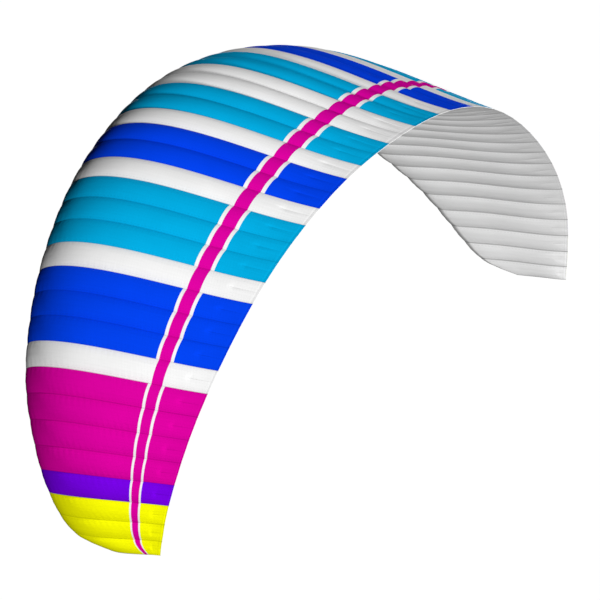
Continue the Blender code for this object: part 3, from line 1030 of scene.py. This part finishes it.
@dataclass
class RibSet:
    """The ribs: plates of stiffer cloth whose edges follow the sheets, cut back in front at the intakes."""

    ribs: list[Rib]
    airfoil: Airfoil
    material: bpy.types.Material
    closed_tip_ribs: int = 5
    rows: int = 6
    nose_stations: int = 22
    nose_start: float = 0.12  # where the first station lies, as a share of the root of the way to the lip
    body_stations: int = 40
    seat: float = 0.0035  # the sheet, the gap to it, and the way it closes in over the rib
    front_hollow: float = 0.012  # how far the front edge is cut back between the intake's two lips
    tip_bulge: float = 0.014  # air pressure pushes the outermost ribs out

    def grid(self, number: int) -> Grid:
        """The cloth of one rib.

        Args:
            number: the rib's number from the left tip.

        Returns:
            The patch, with its left face as the outer skin.
        """
        rib, foil = self.ribs[number], self.airfoil
        nose = foil.lip * np.linspace(self.nose_start, 1, self.nose_stations) ** 2
        s = np.concatenate([nose, np.linspace(foil.lip, foil.rib_end, self.body_stations)[1:]])
        top, low = (
            foil.line(rib, s, side) - self.seat * foil.outward(rib, s, side)
            for side in (Side.UPPER, Side.LOWER)
        )
        if self.closed_tip_ribs < number < len(self.ribs) - 1 - self.closed_tip_ribs:
            ahead = s < foil.lip
            lip = low[np.argmax(~ahead)]
            nose_point = np.array([self.seat, 0.0])
            share = np.clip(s / foil.lip, 0, 1)[ahead, None]
            cut = nose_point + share * (lip - nose_point)
            cut[:, 0] += self.front_hollow * 4 * share[:, 0] * (1 - share[:, 0])
            low[ahead] = cut
        eta = np.linspace(0, 1, self.rows + 1)[:, None, None]
        plane = (1 - eta) * low + eta * top
        bulge = np.zeros(plane.shape[:2])
        if number in (0, len(self.ribs) - 1):
            outward = 1.0 if number == 0 else -1.0
            bulge = outward * self.tip_bulge * (4 * eta * (1 - eta))[..., 0] * np.sin(math.pi * np.sqrt(s))
        middle = rib.on_wing(plane) + bulge[..., None] * rib.spanwise()
        half = foil.sheet / 2 * rib.spanwise()
        to_edge = np.minimum(np.abs(plane[..., 1] - low[:, 1]), np.abs(top[:, 1] - plane[..., 1]))
        squares = (self.rows, len(s) - 1)
        return Grid(
            outer=middle + half,
            inner=middle - half,
            present=np.ones(squares, dtype=bool),
            finish=np.zeros(squares, dtype=int),
            cloth_uv=at_corners(plane)[..., ::-1],
            seam_uv=at_corners(np.stack([to_edge, rib.chord - plane[..., 0]], axis=2)),
        )

    @staticmethod
    def cut(rib: Rib, grid: Grid) -> tuple[float, float, float]:
        """The flat size of a rib.

        Args:
            rib: the rib.
            grid: its cloth.

        Returns:
            Its length along the chord, its depth, and its area.
        """
        flat = np.stack([grid.outer[..., 1], (grid.outer - [rib.x, 0, rib.z]) @ rib.upright()], axis=-1)
        outline = np.concatenate([flat[0], flat[-1, ::-1]])
        y, z = outline.T
        area = abs(np.dot(y, np.roll(z, 1)) - np.dot(z, np.roll(y, 1))) / 2
        return float(np.ptp(y)), float(np.ptp(z)), float(area)

    def build(self, place: Matrix) -> None:
        """Makes the ribs, from the left tip to the right one.

        Args:
            place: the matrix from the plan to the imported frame.
        """
        for number, rib in enumerate(self.ribs):
            grid = self.grid(number)
            mesh = closed_mesh(f"rib_cloth_{number:02d}", grid)
            add_piece(mesh, [self.material], place, f"rib_{number:02d}", self.cut(rib, grid))


@dataclass
class Wing:
    """The whole canopy on its plan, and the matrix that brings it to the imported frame."""

    planform: Planform = field(default_factory=Planform)
    airfoil: Airfoil = field(default_factory=Airfoil)
    upper_billow: Billow = field(default_factory=lambda: Billow(squareness=2.3))
    lower_billow: Billow = field(
        default_factory=lambda: Billow(mini_rib_onset=0.07, dimple_pull=0.0, tail_fold=0.0011)
    )
    livery: Livery = field(default_factory=Livery)
    # the rib seams' tone with painted valley shade: lighter on the dyed sheet, darker on the lining
    upper_seam_and_valley_shade_tone: float = 0.78
    lining_seam_and_valley_shade_tone: float = 0.52
    # painted shade along the lining's front, round the mouths
    lining_mouth_shade_tone: float = 0.45
    upper_stations: int = 78
    lower_stations: int = 64
    flying_pitch: float = math.radians(5.0)
    line_pull: float = 0.30  # how far back the lines pull on the middle rib

    def place(self, middle_rib: Rib) -> Matrix:
        """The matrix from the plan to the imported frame.

        Args:
            middle_rib: the rib that the origin lies under.

        Returns:
            The matrix.
        """
        line = self.airfoil.line(middle_rib, np.array([self.line_pull]), Side.LOWER)
        pull = middle_rib.on_wing(line)[0]
        return Matrix.Rotation(self.flying_pitch, 4, "X") @ Matrix.Translation([-c for c in pull])

    def build(self) -> None:
        """Makes every piece of cloth."""
        ribs = self.planform.ribs()
        place = self.place(ribs[self.planform.cells // 2])
        dyes = self.livery.dyes()
        coloured = [RipstopNylon(dye, seam_and_valley_shade_tone=self.upper_seam_and_valley_shade_tone).material() for dye in dyes]
        undyed = RipstopNylon(Dye.UNDYED, seam_and_valley_shade_tone=self.lining_seam_and_valley_shade_tone, mouth_shade_tone=self.lining_mouth_shade_tone)
        lining = undyed.material()
        rib_cloth = RipstopNylon(Dye.STIFFENED).material()
        plan = (self.planform, ribs, self.airfoil)
        dyed = [*coloured, lining]
        Sheet(Side.UPPER, *plan, self.upper_billow, dyed, self.livery, self.upper_stations).build(place)
        Sheet(Side.LOWER, *plan, self.lower_billow, [lining], None, self.lower_stations).build(place)
        RibSet(ribs, self.airfoil, rib_cloth).build(place)


# ----------------------------------------------------------------------------------------------------
# Studio
# ----------------------------------------------------------------------------------------------------


def direction(azimuth: float, elevation: float) -> Vector:
    """The unit direction at an azimuth from +X toward +Y and an elevation, both in radians."""
    flat = math.cos(elevation)
    return Vector((math.cos(azimuth) * flat, math.sin(azimuth) * flat, math.sin(elevation)))


@dataclass(frozen=True)
class Lamp:
    """A broad soft light so far away that its light falls the same on the whole wing."""

    name: str
    strength: float
    azimuth_deg: float  # where it shines from: from +X toward +Y
    elevation_deg: float
    angle_deg: float

    def build(self) -> None:
        """Adds the light."""
        lamp = bpy.data.objects.new(self.name, bpy.data.lights.new(self.name, "SUN"))
        lamp.data.energy = self.strength
        lamp.data.angle = math.radians(self.angle_deg)
        lamp.rotation_mode = "QUATERNION"
        toward = direction(math.radians(self.azimuth_deg), math.radians(self.elevation_deg))
        lamp.rotation_quaternion = toward.to_track_quat("Z", "Y")
        bpy.context.scene.collection.objects.link(lamp)


@dataclass
class Studio:
    """A plain pale floor well below the wing, soft light, and a far camera with almost no perspective."""

    floor_height: float = -15.0
    floor_size: float = 1600.0
    floor_tone: float = 0.93
    floor_glow: float = 0.45
    ambient: float = 0.025
    backdrop: float = 1.0
    lamps: tuple[Lamp, ...] = (
        Lamp("tail_light", strength=2.60, azimuth_deg=91.5, elevation_deg=34.6, angle_deg=8.0),
        Lamp("side_light", strength=2.64, azimuth_deg=36.0, elevation_deg=8.0, angle_deg=8.0),
        Lamp("front_fill", strength=2.2, azimuth_deg=-151.0, elevation_deg=-18.0, angle_deg=20.0),
    )
    azimuth: float = math.radians(28.96)  # from +X toward +Y
    elevation: float = math.radians(21.967)
    roll: float = math.radians(0.249)
    distance: float = 250.0
    lens: float = 1518.8  # mm, as is the sensor
    sensor: float = 36.0
    clip: tuple[float, float] = (1.0, 4000.0)
    target: tuple[float, float, float] = (-0.1004, 0.7797, -1.6786)

    def build(self) -> None:
        """Adds the floor, the light and the camera."""
        self.add_floor()
        self.add_light()
        self.add_camera()
        bpy.context.scene.view_settings.view_transform = "Standard"

    def add_floor(self) -> None:
        """A wide matt floor that takes the light evenly and throws none of it back up at the cloth."""
        half = self.floor_size / 2
        signs = ((-1, -1), (1, -1), (1, 1), (-1, 1))
        mesh = bpy.data.meshes.new("studio_floor")
        mesh.from_pydata([(x * half, y * half, self.floor_height) for x, y in signs], [], [(0, 1, 2, 3)])
        floor = bpy.data.objects.new("studio_floor", mesh)
        bpy.context.scene.collection.objects.link(floor)
        paper = bpy.data.materials.new("matt_white_paper")  # uncoated and rolled: an even white with no gloss
        paper.use_nodes = True
        shader = paper.node_tree.nodes["Principled BSDF"]
        shader.inputs["Base Color"].default_value = (self.floor_tone, self.floor_tone, self.floor_tone, 1.0)
        shader.inputs["Roughness"].default_value = 1.0
        shader.inputs["Specular IOR Level"].default_value = 0.0
        shader.inputs["Emission Color"].default_value = (1.0, 1.0, 1.0, 1.0)
        shader.inputs["Emission Strength"].default_value = self.floor_glow
        mesh.materials.append(paper)
        floor.visible_diffuse = False
        floor.visible_glossy = False
        floor.visible_shadow = False
        floor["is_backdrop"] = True

    def add_light(self) -> None:
        """Two soft lights behind the trailing edge, one low in front, and an even fill from all round."""
        for lamp in self.lamps:
            lamp.build()
        world = bpy.data.worlds.new("studio")
        world.use_nodes = True
        tree = world.node_tree
        tree.nodes.clear()
        seen = add_node(tree, "ShaderNodeLightPath").outputs["Is Camera Ray"]
        fill = add_node(tree, "ShaderNodeBackground", inputs={0: (1, 1, 1, 1), 1: self.ambient})
        backdrop = add_node(tree, "ShaderNodeBackground", inputs={0: (1, 1, 1, 1), 1: self.backdrop})
        either = {0: seen, 1: fill.outputs[0], 2: backdrop.outputs[0]}
        mixed = add_node(tree, "ShaderNodeMixShader", inputs=either)
        add_node(tree, "ShaderNodeOutputWorld", inputs={0: mixed.outputs[0]})
        bpy.context.scene.world = world

    def add_camera(self) -> None:
        """The camera, behind and above the left half of the wing."""
        back = direction(self.azimuth, self.elevation)
        camera = bpy.data.objects.new("camera", bpy.data.cameras.new("camera"))
        camera.data.lens = self.lens
        camera.data.sensor_width = self.sensor
        camera.data.clip_start, camera.data.clip_end = self.clip
        camera.rotation_mode = "QUATERNION"
        camera.rotation_quaternion = back.to_track_quat("Z", "Y") @ Quaternion((0, 0, 1), self.roll)
        camera.location = Vector(self.target) + self.distance * back
        bpy.context.scene.collection.objects.link(camera)
        bpy.context.scene.camera = camera


def main() -> None:
    """Builds the wing and its studio."""
    logging.basicConfig(level=logging.INFO, format="%(name)s: %(message)s")
    cad_low, cad_high = CAD_BOX
    Wing().build()
    Studio().build()
    low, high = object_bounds()
    for model, box in (("packed", (cad_low, cad_high)), ("visual", (low, high))):
        LOG.info("%s model, corners of its box: %s", model, [[round(c, 3) for c in corner] for corner in box])


if __name__ == "__main__":
    main()
